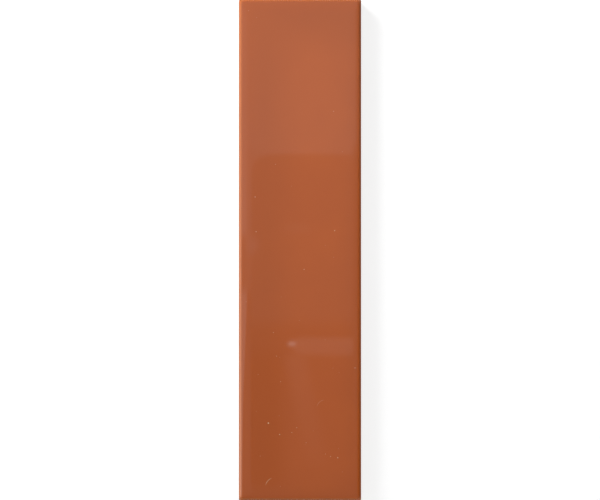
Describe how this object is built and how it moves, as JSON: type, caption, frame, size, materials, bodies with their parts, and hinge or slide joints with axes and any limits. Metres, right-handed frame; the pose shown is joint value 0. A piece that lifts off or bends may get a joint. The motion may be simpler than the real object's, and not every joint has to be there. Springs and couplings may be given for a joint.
{
  "type": "wall tile",
  "caption": "Long narrow glazed ceramic wall tile with a glossy face, softly cushioned edges and a pocketed back that keys into adhesive.",
  "frame": {"origin": "middle of the tile's back, in the plane of the lands that bed on the adhesive", "axes": "+Z out of the glazed face, +Y along the length, +X across the width, as seen looking at the glazed face with the tile upright"},
  "size_m": [0.06, 0.246, 0.0085],
  "materials": {
    "glaze": "gloss"
  },
  "bodies": {
    "root": {"wall_tile": "glaze"}
  },
  "joints": []
}
